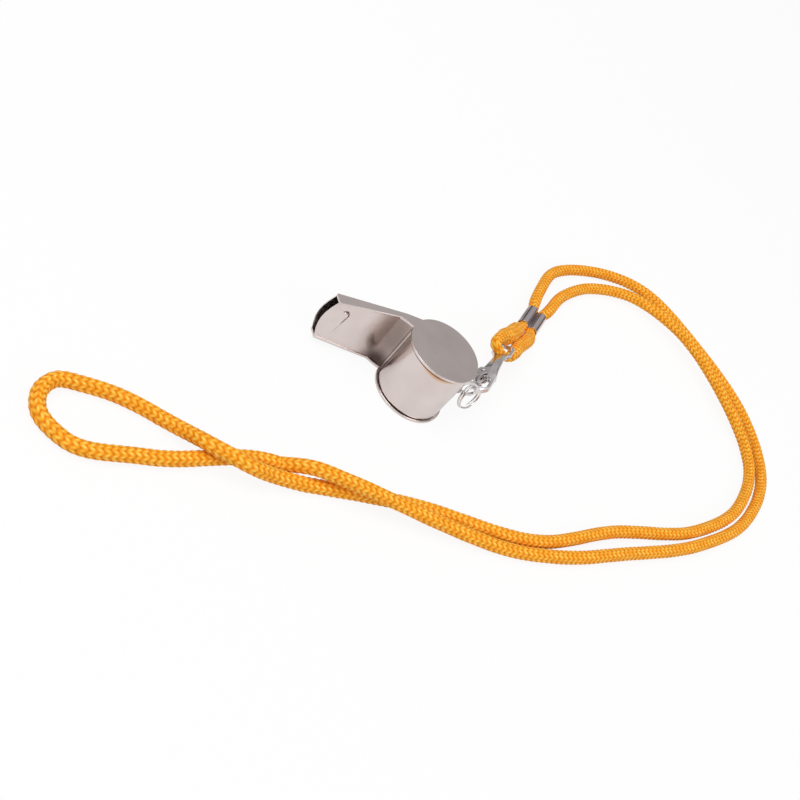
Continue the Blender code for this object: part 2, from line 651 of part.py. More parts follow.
def clip_pin(material, frame):
    """A shaft with a low head outside each cheek of the gate, turned round its own axis."""
    seat = gate_inside() + GATE_SHEET + 0.2 * MM
    top = seat + PIN_HEAD_HEIGHT
    profile = [(0, -top), (0.6 * PIN_HEAD_RADIUS, -top), (PIN_HEAD_RADIUS, -seat - 0.1 * MM),
               (PIN_HEAD_RADIUS, -seat), (PIN_RADIUS, -seat)]
    profile += [(r, -w) for r, w in reversed(profile)]
    bm = bmesh.new()
    verts = [bm.verts.new((r, 0, w)) for r, w in profile]
    edges = [bm.edges.new(pair) for pair in zip(verts, verts[1:])]
    bmesh.ops.spin(bm, geom=verts + edges, cent=(0, 0, 0), axis=(0, 0, 1), angle=2 * math.pi,
                   steps=ROUND_STEPS, use_merge=True)
    bmesh.ops.remove_doubles(bm, verts=bm.verts, dist=1e-6)
    bmesh.ops.translate(bm, verts=bm.verts, vec=(PIN_U, PIN_V, 0))
    bmesh.ops.transform(bm, matrix=frame, verts=bm.verts)
    return add_object("clip_pin", finish_mesh(bm, "clip_pin"), material)


def clip_spring(material, frame):
    """A bowed leaf from the pocket in the body to just inside the gate's web."""
    start = Vector((OPENING_HALF_LENGTH + SPRING_POCKET - FIT - 0.1 * MM, 0.15 * MM))
    end = Vector((GATE_WEB_START + 0.6 * MM, 0.75 * MM))
    across = end - start
    normal = Vector((across.y, -across.x)).normalized()
    line = [tuple(start + across * t + normal * (0.8 * MM * t * (1 - t))) for t in (i / 8 for i in range(9))]
    outline = line + offset_line(line, SPRING_THICKNESS)[::-1]
    bm = prism(outline, SPRING_WIDTH)
    bmesh.ops.translate(bm, verts=bm.verts, vec=(0, 0, -SPRING_WIDTH / 2))
    bmesh.ops.transform(bm, matrix=frame, verts=bm.verts)
    return add_object("clip_spring", finish_mesh(bm, "clip_spring"), material)


# Ferrule and cord

def ferrule_frame():
    along = Vector((math.cos(FERRULE_HEADING), math.sin(FERRULE_HEADING), 0))
    left = Vector((-along.y, along.x, 0))
    height = CORD_CRIMPED / 2 + FERRULE_CLEARANCE + FERRULE_WALL + TABLE_GAP
    origin = Vector((*FERRULE_AT, height))
    return Matrix.Translation(origin) @ Matrix((along, left, Vector((0, 0, 1)))).transposed().to_4x4()


def figure_eight(radius, dip):
    """Two round lobes side by side, pinched between them: the section of a crimped sleeve."""
    reach = math.acos(min(1.0, (CORD_SPREAD - dip) / radius))
    lobe = arc(radius, -math.pi + reach, math.pi - reach, 18, (CORD_SPREAD, 0))
    other = [(-y, -z) for y, z in lobe]
    return lobe + other


def ferrule(material):
    """A pinched sleeve round the two strands, open at both ends."""
    bore = CORD_CRIMPED / 2 + FERRULE_CLEARANCE
    outer = figure_eight(bore + FERRULE_WALL, 0.35 * MM)
    inner = figure_eight(bore, 0.35 * MM)
    bm = bmesh.new()
    rings = [[bm.verts.new((x * FERRULE_LENGTH, y, z)) for y, z in section]
             for section, x in ((outer, 0.5), (outer, -0.5), (inner, -0.5), (inner, 0.5))]
    for one, other in zip(rings, rings[1:] + rings[:1]):
        for i, vert in enumerate(one):
            bm.faces.new((one[i - 1], vert, other[i], other[i - 1]))
    bmesh.ops.transform(bm, matrix=ferrule_frame(), verts=bm.verts)
    return add_object("ferrule", finish_mesh(bm, "ferrule"), material)


def strand_ends(end):
    """Where two strands enter the ferrule at its end (+1 far from the clip, -1 near it), left then right."""
    frame = ferrule_frame()
    inside = end * (FERRULE_LENGTH / 2 - CORD_ENTRY)
    mouth = end * (FERRULE_LENGTH / 2 + 0.6 * MM)
    clear = end * (FERRULE_LENGTH / 2 + 2.8 * MM)
    return [[frame @ Vector((inside, side * CORD_SPREAD, 0)), frame @ Vector((mouth, side * CORD_SPREAD, 0)),
             frame @ Vector((clear, side * (CORD_SPREAD + 0.6 * MM), 0))] for side in (1, -1)]


def cord_diameters(line, swell):
    """Crimped where it sits in the ferrule, full a short way out of it."""
    travelled = [0.0]
    for a, b in zip(line, line[1:]):
        travelled.append(travelled[-1] + (b - a).length)
    result = []
    for here in travelled:
        free = min(here, travelled[-1] - here) - CORD_ENTRY
        share = min(1.0, max(0.0, free / swell))
        result.append(CORD_CRIMPED + (CORD_DIAMETER - CORD_CRIMPED) * share)
    return result


def lanyard_cord(material):
    left, right = strand_ends(1)
    route = [Vector(p) * MM for p in MAIN_ROUTE]
    free = smooth_curve([*left[1:], *route, *reversed(right[1:])], 8)
    line = [left[0], *thin_line(free, 3 * CORD_DIAMETER, CORD_TURN, CORD_DIAMETER), right[0]]
    diameters = cord_diameters(line, 5 * MM)
    for point, diameter in zip(line, diameters):
        point.z = max(point.z, diameter / 2 + TABLE_GAP)
    return add_object("lanyard_cord", tube("lanyard_cord", line, diameters), material)


def eye_loop(material, frame):
    eye = frame @ Vector((EYE_U, 0, 0))
    left, right = strand_ends(-1)
    route = [frame @ Vector((EYE_U + u * MM, v * MM, w * MM)) for u, v, w in EYE_LOOP_ROUTE]
    line = smooth_curve([*left, *route, *reversed(right)], 2)
    diameters = cord_diameters(line, 6 * MM)
    for i, point in enumerate(line):
        near = min(1.0, max(0.0, (point - eye).length / CORD_IN_EYE_REACH - 1))
        diameters[i] = min(diameters[i], CORD_IN_EYE + (LOOP_DIAMETER - CORD_IN_EYE) * near)
    return add_object("eye_loop_cord", tube("eye_loop_cord", line, diameters), material)


def build():
    clear_scene()
    steel = make_material("nickel_plated_steel", (0.62, 0.60, 0.58), 0.22, 1.0)
    zinc = make_material("cast_clip_metal", (0.58, 0.56, 0.56), 0.28, 1.0)
    cork = make_material("cork", (0.55, 0.36, 0.20), 0.9, 0.0)
    cord = make_material("orange_knitted_cord", (0.95, 0.36, 0.04), 0.75, 0.0)

    frame = clip_frame()
    whistle_pivot = make_empty("whistle_pivot", lug_hole())
    pea_pivot = make_empty("pea_pivot", (0, 0, 0))
    ring_pivot = make_empty("ring_pivot", ring_at_clip())
    gate_pivot = make_empty("gate_pivot", frame @ Vector((PIN_U, PIN_V, 0)))

    side_plate("side_plate_lower", False, steel, whistle_pivot)
    side_plate("side_plate_upper", True, steel, whistle_pivot)
    barrel_band(steel, whistle_pivot)
    mouthpiece_top_plate(steel, whistle_pivot)
    mouthpiece_underside_plate(steel, whistle_pivot)
    ring_lug(steel, whistle_pivot)
    pea(cork, pea_pivot)
    split_ring(steel, ring_pivot)
    clip_body(zinc, frame)
    clip_gate(zinc, frame, gate_pivot)
    clip_pin(steel, frame)
    clip_spring(steel, frame)
    ferrule(steel)
    lanyard_cord(cord)
    eye_loop(cord, frame)
    for obj in bpy.data.objects:
        if obj.type == "EMPTY":
            print(obj.name, [round(x, 6) for x in obj.location])
    print("gate axis", [round(x, 6) for x in frame.col[2][:3]])
    print("cord points", len(bpy.data.curves["lanyard_cord"].splines[0].points))


build()
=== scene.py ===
"""A plated metal pea whistle with its split ring, snap clip, ferrule and orange knitted neck cord."""
import math

import bmesh
import bpy
from mathutils import Matrix, Vector


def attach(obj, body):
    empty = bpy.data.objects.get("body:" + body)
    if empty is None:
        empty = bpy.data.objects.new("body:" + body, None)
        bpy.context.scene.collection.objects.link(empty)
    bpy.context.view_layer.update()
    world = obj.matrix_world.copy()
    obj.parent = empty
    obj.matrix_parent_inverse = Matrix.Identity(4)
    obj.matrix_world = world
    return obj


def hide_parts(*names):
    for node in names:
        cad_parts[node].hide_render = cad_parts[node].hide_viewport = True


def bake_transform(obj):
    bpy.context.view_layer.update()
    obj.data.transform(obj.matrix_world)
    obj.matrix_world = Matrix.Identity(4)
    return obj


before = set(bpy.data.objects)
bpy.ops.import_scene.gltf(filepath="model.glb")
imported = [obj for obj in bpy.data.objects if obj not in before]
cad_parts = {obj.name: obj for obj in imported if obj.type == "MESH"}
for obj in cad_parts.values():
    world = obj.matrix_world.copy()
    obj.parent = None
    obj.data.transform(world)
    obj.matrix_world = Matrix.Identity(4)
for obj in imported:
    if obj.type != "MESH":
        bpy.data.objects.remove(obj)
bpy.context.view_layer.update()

MM = 0.001
UP = Vector((0, 0, 1))

# Ferrule: its place and form are the model's; the pinch between its two strands is made deeper here
FERRULE_AT = (52.3 * MM, 53.4 * MM, 2.27 * MM)
FERRULE_HEADING = math.radians(60.1)
FERRULE_LENGTH = 11.4 * MM
PINCH_DEPTH = 0.42
PINCH_WIDTH = 0.75 * MM

# Cords: how thick they are, and how they come out of the ferrule
CORD_DIAMETER = 4.3 * MM
CORD_CRIMPED = 3.1 * MM
CORD_ENTRY = 2.0 * MM
CORD_FILLS_MOUTH = 2.0 * MM
CORD_SPREAD = 1.7 * MM
STRAND_MOUTH = 0.6 * MM
STRAND_CLEAR = 2.8 * MM
STRAND_PARTS_BY = 0.6 * MM
TABLE_GAP = 0.02 * MM
CURVE_PARTS = 12

# Neck cord, from the ferrule round and back, in mm; LOW is the height of its middle on the table
LANYARD_SWELLS_OVER = 5 * MM
LOW = 2.17
MAIN_ROUTE = [
    (59.6, 73.7, LOW), (66.4, 85.3, LOW), (82.5, 95.8, LOW), (115.5, 100.3, LOW), (137.1, 80.3, LOW),
    (152.9, 51.4, LOW), (152.9, 24.1, LOW), (136.1, -2.8, LOW), (110.5, -20.6, LOW), (73.2, -36.2, LOW),
    (52.6, -43.9, LOW), (32.6, -48.2, LOW), (5.1, -48.9, 4.2), (-8.7, -48.4, 5.7), (-26.4, -47.6, 7.0),
    (-35.7, -46.6, 6.2), (-43.2, -45.5, LOW), (-79.0, -56.9, LOW), (-99.2, -59.2, LOW),
    (-105.9, -53.2, LOW), (-106.3, -47.5, LOW), (-103.4, -42.8, LOW), (-96.4, -41.3, LOW),
    (-70.1, -46.3, 3.6), (-64.2, -50.5, 6.6), (-59.4, -51.8, 6.9), (-54.3, -52.8, 6.6),
    (-47.3, -51.5, 4.2), (-35.3, -49.3, LOW), (-3.1, -44.3, LOW), (41.9, -41.8, LOW),
    (71.6, -28.5, LOW), (109.7, -15.5, LOW), (134.9, 3.1, LOW), (148.1, 29.2, LOW), (140.2, 56.5, 4.9),
    (123.2, 83.0, 5.1), (107.9, 91.7, 3.4), (87.4, 88.3, LOW), (69.3, 74.6, LOW),
]

# Eye loop, in mm from the middle of the clip's eye: along the clip, to the gate's side, and through it.
# It is a little fuller than the model's: tight in the eye, slack between the eye and the ferrule.
LOOP_SWELLS_OVER = 8 * MM
LOOP_IN_EYE = 3.0 * MM
LOOP_DIAMETER = 4.1 * MM
LOOP_FULLEST = 5.9 * MM
LOOP_LEAVES_EYE = (2.5 * MM, 5.0 * MM)
LOOP_SLACKENS = (5.5 * MM, 8.8333 * MM)
RIGHT_STRAND_SLACK = 0.4
EYE_LOOP_ROUTE = [
    (21.0, 2.1, -4.8), (14.0, 1.9, -2.2), (8.4, 2.1, 0.3), (4.6, 2.3, 2.2), (1.8, 2.5, 3.0),
    (-0.7, 2.5, 3.2), (-2.1, 2.0, 2.8), (-2.2, 1.1, 1.8), (-1.6, 0.5, 0.7), (-1.0, 0.2, -0.4),
    (-0.5, -0.4, -1.5), (0.9, -1.2, -2.4), (2.9, -1.9, -2.9), (5.5, -2.1, -3.4),
    (11.5, -1.8, -4.8), (20.5, -2.2, -7.4),
]

# Knit: columns of stitches round the cord, the length of one stitch, and how deep the grooves are
STITCH_COLUMNS = 6
STITCH_LENGTH = 1.9 * MM
STITCH_DEPTH = 0.36 * MM
FIRST_COLUMN = 0.25
LEG_SLANT = 0.6
BETWEEN_STITCHES = 0.15
BETWEEN_COLUMNS = 0.3
UNEVEN = 0.08
RING_STEP = 0.335 * MM
POINTS_ROUND = 36

# Snap clip, in its own frame: how it lies, where its eye is, and the ridge along its body
CLIP_HEADING = math.radians(61.5)
CLIP_PITCH = math.radians(0.5)
CLIP_ROLL = math.radians(30)
CLIP_ORIGIN = (20.731 * MM, 4.107 * MM, 10.0373 * MM)
EYE_U = 20.9 * MM
RIDGE_START = 7.2 * MM
RIDGE_RISES_OVER = 2 * MM
RIDGE_MIDDLE = 13 * MM
RIDGE_FALLS_OVER = 3 * MM
RIDGE_END = 17.2 * MM
RIDGE_HEIGHT = 0.5 * MM

# Whistle, with the values of the model
DISC_RADIUS = 11.5 * MM
WHISTLE_WIDTH = 20.5 * MM
PLATE_THICKNESS = 0.8 * MM
JOINT_GAP = 0.3 * MM
SHEET = 0.4 * MM
RIM = 0.25 * MM
TIP_X = -34.1 * MM
TIP_TOP_Y = 8.2 * MM
TIP_UNDER_Y = 4.6 * MM
NOTCH_Y = 9.1 * MM
THROAT_X = -14.6 * MM
THROAT_UNDER_Y = 6.75 * MM
TAPER_START_X = -12.5 * MM
TIP_INSET = 2.3 * MM

# What a soldered sheet keeps from the side plates here, and how near a vertex is to its end
SOLDERED_GAP = 0.03 * MM
NEAR = 0.02 * MM

# The raised crease on the underside near the mouth: its line in x and z (mm), its form, and the grid
# that is cut for it
TOOTH_CREASE = [(-30.4, 14.9), (-29.3, 15.0), (-28.8, 14.0), (-29.4, 10.1), (-30.1, 6.0)]
CREASE_HEIGHT = 0.5 * MM
CREASE_HALF_WIDTH = 0.6 * MM
CREASE_FLANK = 1.5
CREASE_FADES_TO = 0.25
CREASE_BETWEEN_X = (-32 * MM, -27.6 * MM)
CREASE_GRID_X = [(-31.6 + 0.15 * k) * MM for k in range(26)]
CREASE_GRID_Z = [(5.0 + 0.3 * k) * MM for k in range(38)]

# Painted shade in soft oval places: the middle and reach (mm) of each, its depth, and its turn about the
# axes. In the throat it stands for the dark reflection of the shadowed table and barrel and for the contact
# shadow near the table, by the crease for the shade along its edge, and on the ferrule for the shade in its
# pinch and on its lower side
THROAT_PAINTED_SHADE = [
    ((-12.5, 7.0, 13.0), (11, 9, 20), 0.66, (0, 0, 0)),
    ((-12.0, 6.3, 1.5), (7.5, 8, 6.5), 0.97, (0, 0, 0)),
    ((-16.6, 6.8, 6.2), (1.8, 6, 5.4), 0.55, (0, math.radians(-36), 0)),
]
CREASE_PAINTED_SHADE = [
    ((-29.7, 4.9, 15.3), (1.1, 3, 0.7), 0.9, (0, 0, 0)),
    ((-28.9, 4.9, 12.2), (0.5, 3, 3.4), 0.8, (0, math.radians(7), 0)),
]
FERRULE_PAINTED_SHADE = [
    ((52.3, 53.4, 4.0), (11, 0.95, 3.4), 0.85, (0, 0, FERRULE_HEADING)),
    ((48.9, 55.3, 2.9), (11, 1.1, 2.6), 0.97, (0, 0, FERRULE_HEADING)),
]
PAINTED_SHADE_WHOLE_AT = 0.85
PAINTED_SHADE_TONES = [(0.0, (0.10, 0.08, 0.075)), (0.5, (0.56, 0.50, 0.475)), (1.0, (1, 1, 1))]

# Tan crescent on the barrel, darker towards the rim: the side it is on, how low it hangs there, and a dark
# line of painted shade under the disc's rim
BAND_RADIUS = 10.85 * MM
TINT_ANGLE = math.radians(-104)
TINT_LOW = 17.5 * MM
TINT_WIDTH = 1.7 * MM
TINT_HANGS = 4.3
TINT_TONES = [
    (0.0, (1, 1, 1)), (0.2, (1, 0.93, 0.86)), (0.45, (0.96, 0.76, 0.56)), (0.72, (0.82, 0.54, 0.34)),
    (0.9, (0.5, 0.3, 0.18)),
]
RIM_SHADE_LINE = 18.9 * MM
RIM_SHADE_WIDTH = 0.2 * MM
RIM_SHADE_TONES = [(0.0, (1, 1, 1)), (1.0, (0.12, 0.09, 0.08))]

# Finishes: colour, and the smoothest and roughest places of each plating
SHEET_NICKEL = ((0.70, 0.62, 0.595), 0.16, 0.26)
WIRE_NICKEL = ((0.72, 0.69, 0.68), 0.12, 0.22)
SLEEVE_NICKEL = ((0.66, 0.59, 0.61), 0.14, 0.22)
LEVER_NICKEL = ((0.66, 0.63, 0.63), 0.3, 0.42)
CAST_NICKEL = ((0.74, 0.70, 0.70), 0.2, 0.32)
CLOUDS = 0.06
CORK_TONES = [(0.3, (0.16, 0.08, 0.04)), (0.45, (0.5, 0.31, 0.16)), (0.7, (0.68, 0.47, 0.28))]
INSIDE_SHADE_AND_DUST_TONES = [(0.3, (0.010, 0.009, 0.009)), (0.7, (0.032, 0.028, 0.026))]
# Yarn colours by stitch height: painted shade in the grooves, painted highlight on the crests.
YARN_HIGHLIGHT_AND_SHADE_TONES = [
    (0.0, (0.40, 0.11, 0.003)), (0.3, (0.80, 0.23, 0.004)), (0.6, (0.96, 0.39, 0.012)),
    (0.9, (0.99, 0.68, 0.13)),
]
YARN_PATCHES = [(0.3, (0.93, 0.93, 0.93)), (0.7, (1, 1, 1))]
FIBRE_SHARE = 0.24

# Rounding of the finished pieces
SAME_POINT = 1e-6
NEARLY_FLAT = math.radians(0.8)
ROUND_FORM = math.radians(60)
EDGE_SEGMENTS = 2

# Studio: how white the table is to the camera and in the metal, the sky from below to above, the lamps
TABLE_COLOUR = (0.86, 0.86, 0.86)
TABLE_HALF_WIDTH = 4.0
TABLE_WHITE_SEEN = 0.9
TABLE_WHITE_MIRRORED = 0.4
SKY = [
    (0.0, (0.06, 0.057, 0.055)), (0.22, (0.12, 0.115, 0.11)), (0.38, (0.48, 0.47, 0.47)),
    (0.62, (0.50, 0.49, 0.49)), (0.85, (0.78, 0.78, 0.78)), (1.0, (0.95, 0.95, 0.95)),
]
LAMPS = [("window_light", (-0.5, -0.1, 0.9), 0.7, 5.0), ("fill_light", (0.6, -0.9, 0.7), 0.8, 4.0)]
CAMERA_AT = (-0.1532, -0.2384, 0.2213)
CAMERA_AHEAD = (0.423, 0.6581, -0.6229)
CAMERA_RIGHT = (0.8469, -0.0426, 0.5301)
CAMERA_LENS = 54
CAMERA_SENSOR = 36


def object_from(name, data, body, material, node):
    """Link a finished piece, with its material, on the body that carries it."""
    obj = bpy.data.objects.new(name, data)
    bpy.context.scene.collection.objects.link(obj)
    data.materials.clear()
    data.materials.append(material)
    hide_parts(node)
    if body:
        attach(obj, body)
    return obj


def grown(value, start, end):
    """How far a value has come from start to end, from 0 to 1."""
    return min(1.0, max(0.0, (value - start) / (end - start)))


def smooth_curve(points):
    """A smooth curve through the given points, with its ways set by the length of each stretch."""
    padded = [2 * points[0] - points[1], *points, 2 * points[-1] - points[-2]]
    line = []
    for a, b, c, d in zip(padded, padded[1:], padded[2:], padded[3:]):
        before, here, after = (b - a).length, (c - b).length, (d - c).length
        way_in = ((b - a) * (here / before) * here + (c - b) * before) / (before + here)
        way_out = ((c - b) * after + (d - c) * (here / after) * here) / (here + after)
        for i in range(CURVE_PARTS):
            t = i / CURVE_PARTS
            line.append(b * (1 + 2 * t) * (1 - t) ** 2 + way_in * t * (1 - t) ** 2
                        + c * t * t * (3 - 2 * t) - way_out * t * t * (1 - t))
    return line + [points[-1]]


def even_points(line, step):
    """The same line with its points about step apart."""
    reach = [0.0]
    for a, b in zip(line, line[1:]):
        reach.append(reach[-1] + (b - a).length)
    count = round(reach[-1] / step)
    points = []
    i = 0
    for k in range(count + 1):
        want = reach[-1] * k / count
        while i < len(line) - 2 and reach[i + 1] < want:
            i += 1
        share = (want - reach[i]) / max(reach[i + 1] - reach[i], 1e-12)
        points.append(line[i].lerp(line[i + 1], min(1.0, share)))
    return points


# Materials

def new_material(name, colour, roughness, metallic=0.0):
    material = bpy.data.materials.new(name)
    material.use_nodes = True
    nodes, links = material.node_tree.nodes, material.node_tree.links
    shader = nodes["Principled BSDF"]
    shader.inputs["Base Color"].default_value = (*colour, 1)
    shader.inputs["Roughness"].default_value = roughness
    shader.inputs["Metallic"].default_value = metallic
    return material, nodes, links, shader


def noise(nodes, links, scale, stretch=(1, 1, 1), detail=4.0, coordinates="Object"):
    """A noise texture on the piece's own coordinates, stretched along an axis where one is small."""
    place = nodes.new("ShaderNodeTexCoord")
    mapping = nodes.new("ShaderNodeMapping")
    mapping.inputs["Scale"].default_value = stretch
    texture = nodes.new("ShaderNodeTexNoise")
    texture.inputs["Scale"].default_value = scale
    texture.inputs["Detail"].default_value = detail
    links.new(place.outputs[coordinates], mapping.inputs["Vector"])
    links.new(mapping.outputs["Vector"], texture.inputs["Vector"])
    return texture.outputs["Fac"]


def ramp(nodes, links, value, stops, to=None):
    """Colours at places along a value from 0 to 1, given to a socket where one is named."""
    node = nodes.new("ShaderNodeValToRGB")
    while len(node.color_ramp.elements) < len(stops):
        node.color_ramp.elements.new(0.5)
    for element, (place, colour) in zip(node.color_ramp.elements, stops):
        element.position = place
        element.color = (*colour, 1)
    links.new(value, node.inputs["Fac"])
    if to:
        links.new(node.outputs["Color"], to)
    return node.outputs["Color"]


def bump(nodes, links, shader, value, strength, distance, before=None):
    """A fine relief from a value, on top of an earlier relief where there is one."""
    node = nodes.new("ShaderNodeBump")
    node.inputs["Strength"].default_value = strength
    node.inputs["Distance"].default_value = distance
    links.new(value, node.inputs["Height"])
    if before:
        links.new(before, node.inputs["Normal"])
    links.new(node.outputs["Normal"], shader.inputs["Normal"])
    return node.outputs["Normal"]


def calculate(nodes, links, operation, *values):
    """A Math node on sockets and numbers."""
    node = nodes.new("ShaderNodeMath")
    node.operation = operation
    for socket, value in zip(node.inputs, values):
        if isinstance(value, (int, float)):
            socket.default_value = value
        else:
            links.new(value, socket)
    return node.outputs["Value"]


def toned(material, tone):
    """Multiply a finish's colour by another colour that the place sets."""
    nodes, links = material.node_tree.nodes, material.node_tree.links
    base = nodes["Principled BSDF"].inputs["Base Color"]
    blend = nodes.new("ShaderNodeMix")
    blend.data_type = "RGBA"
    blend.blend_type = "MULTIPLY"
    blend.inputs["Factor"].default_value = 1.0
    links.new(base.links[0].from_socket, blend.inputs["A"])
    links.new(tone, blend.inputs["B"])
    links.new(blend.outputs["Result"], base)
    return material


def plated_metal(name, plating, grain=(1, 1, 1)):
    """Nickel plate: a faint drawn grain, cloudy wear, and a finish that is never quite even."""
    colour, smooth, rough = plating
    material, nodes, links, shader = new_material(name, colour, smooth, 1.0)
    cloud = noise(nodes, links, 90, detail=3)
    darker = tuple(c * (1 - CLOUDS) for c in colour)
    lighter = tuple(min(1.0, c * (1 + CLOUDS)) for c in colour)
    ramp(nodes, links, cloud, [(0.3, darker), (0.7, lighter)], shader.inputs["Base Color"])
    smudge = noise(nodes, links, 260, detail=5)
    ramp(nodes, links, smudge, [(0.35, (smooth,) * 3), (0.75, (rough,) * 3)], shader.inputs["Roughness"])
    fine = noise(nodes, links, 1400, grain, detail=6)
    wave = noise(nodes, links, 120, detail=2)
    first = bump(nodes, links, shader, wave, 0.12, 0.2 * MM)
    bump(nodes, links, shader, fine, 0.05, 0.05 * MM, first)
    return material


def painted_shade_ovals(material, places):
    """Darken a finish in soft oval places with painted shade."""
    nodes, links = material.node_tree.nodes, material.node_tree.links
    place = nodes.new("ShaderNodeTexCoord")
    unshaded = 1.0
    for middle, reach, depth, turn in places:
        oval = nodes.new("ShaderNodeMapping")
        oval.vector_type = "TEXTURE"
        oval.inputs["Location"].default_value = Vector(middle) * MM
        oval.inputs["Rotation"].default_value = turn
        oval.inputs["Scale"].default_value = Vector(reach) * MM
        links.new(place.outputs["Object"], oval.inputs["Vector"])
        fall = nodes.new("ShaderNodeTexGradient")
        fall.gradient_type = "SPHERICAL"
        links.new(oval.outputs["Vector"], fall.inputs["Vector"])
        soft = nodes.new("ShaderNodeMapRange")
        soft.interpolation_type = "SMOOTHSTEP"
        soft.inputs["From Max"].default_value = PAINTED_SHADE_WHOLE_AT
        soft.inputs["To Min"].default_value = 1.0
        soft.inputs["To Max"].default_value = 1 - depth
        links.new(fall.outputs["Fac"], soft.inputs["Value"])
        unshaded = calculate(nodes, links, "MULTIPLY", unshaded, soft.outputs["Result"])
    return toned(material, ramp(nodes, links, unshaded, PAINTED_SHADE_TONES))


def tan_crescent_band(material):
    """A tan crescent along the band's upper edge, darker towards the rim, with a dark line of painted shade
    under the rim.
    """
    nodes, links = material.node_tree.nodes, material.node_tree.links
    place = nodes.new("ShaderNodeTexCoord")
    axes = nodes.new("ShaderNodeSeparateXYZ")
    links.new(place.outputs["Object"], axes.inputs["Vector"])
    x, y, z = (axes.outputs[axis] for axis in "XYZ")
    ahead = calculate(nodes, links, "MULTIPLY", x, math.cos(TINT_ANGLE) / BAND_RADIUS)
    facing = calculate(nodes, links, "MULTIPLY_ADD", y, math.sin(TINT_ANGLE) / BAND_RADIUS, ahead)
    height = calculate(nodes, links, "MULTIPLY_ADD", z, 1 / TINT_WIDTH, -TINT_LOW / TINT_WIDTH - TINT_HANGS)
    level = calculate(nodes, links, "MULTIPLY_ADD", facing, TINT_HANGS, height)
    toned(material, ramp(nodes, links, level, TINT_TONES))
    # A thin dark line of painted shade under the overhanging disc rim.
    edge = calculate(nodes, links, "MULTIPLY_ADD", z, 1 / RIM_SHADE_WIDTH, -RIM_SHADE_LINE / RIM_SHADE_WIDTH)
    return toned(material, ramp(nodes, links, edge, RIM_SHADE_TONES))


def dark_inside():
    """Painted shade on the inside of the whistle, which light hardly reaches: a near-black, dull finish with
    a fine dusty speckle.
    """
    material, nodes, links, shader = new_material("inside_painted_shade", (0.02, 0.018, 0.017), 0.5, 0.6)
    dust = noise(nodes, links, 700, detail=5)
    ramp(nodes, links, dust, INSIDE_SHADE_AND_DUST_TONES, shader.inputs["Base Color"])
    bump(nodes, links, shader, dust, 0.2, 0.05 * MM)
    return material


def cork():
    material, nodes, links, shader = new_material("cork_grain", (0.55, 0.36, 0.20), 0.85)
    grain = noise(nodes, links, 900, detail=8)
    ramp(nodes, links, grain, CORK_TONES, shader.inputs["Base Color"])
    bump(nodes, links, shader, grain, 0.6, 0.15 * MM)
    return material


def knitted_yarn():
    """Orange yarn, with painted highlight on the crest of each stitch and painted shade deep in the grooves,
    and fine fibres.
    """
    material, nodes, links, shader = new_material("orange_yarn", (0.95, 0.36, 0.02), 0.7)
    stitch = nodes.new("ShaderNodeAttribute")
    stitch.attribute_name = "stitch"
    fibre = noise(nodes, links, 1.0, (150, 6, 1), detail=3, coordinates="UV")
    patch = noise(nodes, links, 240, detail=3)
    lowered = calculate(nodes, links, "SUBTRACT", stitch.outputs["Fac"], FIBRE_SHARE / 2)
    level = calculate(nodes, links, "MULTIPLY_ADD", fibre, FIBRE_SHARE, lowered)
    # Painted highlight on the crests and painted shade in the grooves.
    ramp(nodes, links, level, YARN_HIGHLIGHT_AND_SHADE_TONES, shader.inputs["Base Color"])
    toned(material, ramp(nodes, links, patch, YARN_PATCHES))
    shader.inputs["Specular IOR Level"].default_value = 0.2
    shader.inputs["Sheen Weight"].default_value = 0.08
    shader.inputs["Sheen Roughness"].default_value = 0.4
    bump(nodes, links, shader, fibre, 0.35, 0.08 * MM)
    return material


# Metal pieces

def cut_through(bm, at, facing):
    """Cut every face of a shape along a plane, and keep both sides."""
    everything = bm.verts[:] + bm.edges[:] + bm.faces[:]
    bmesh.ops.bisect_plane(bm, geom=everything, dist=1e-7, plane_co=at, plane_no=facing)


def taper(x):
    """How far the side plates lean in towards the middle of the mouthpiece at x."""
    return max(0.0, TAPER_START_X - x) * TIP_INSET / (TAPER_START_X - TIP_X)


def meet_side_plates(bm):
    """Bring the ends of a soldered sheet up against the two side plates."""
    for vert in bm.verts:
        low = PLATE_THICKNESS + JOINT_GAP + taper(vert.co.x)
        for end, way in ((low, -1), (WHISTLE_WIDTH - low, 1)):
            if abs(vert.co.z - end) < NEAR:
                vert.co.z += way * (JOINT_GAP - SOLDERED_GAP)


def blacken(faces):
    """Give some of a shape's faces the second material, the painted shade of the whistle's dark inside."""
    for face in faces:
        face.material_index = 1


def shape_top_plate(bm):
    """Solder the top plate in, and give its inner face and its edge at the mouth painted shade."""
    meet_side_plates(bm)
    bm.normal_update()
    blacken(f for f in bm.faces if f.normal.y < -0.5 or f.normal.x < -0.6
            or (f.normal.y < 0.9 and max(v.co.x for v in f.verts) < TIP_X + MM))


def shape_underside_plate(bm):
    """Solder the underside plate in, give its inner face and its edge painted shade, and raise the crease."""
    meet_side_plates(bm)
    bm.normal_update()
    blacken(f for f in bm.faces if f.normal.y > 0.5
            or (f.normal.x < -0.6 and f.calc_center_median().x < TIP_X + 2 * MM))
    raise_tooth_crease(bm)


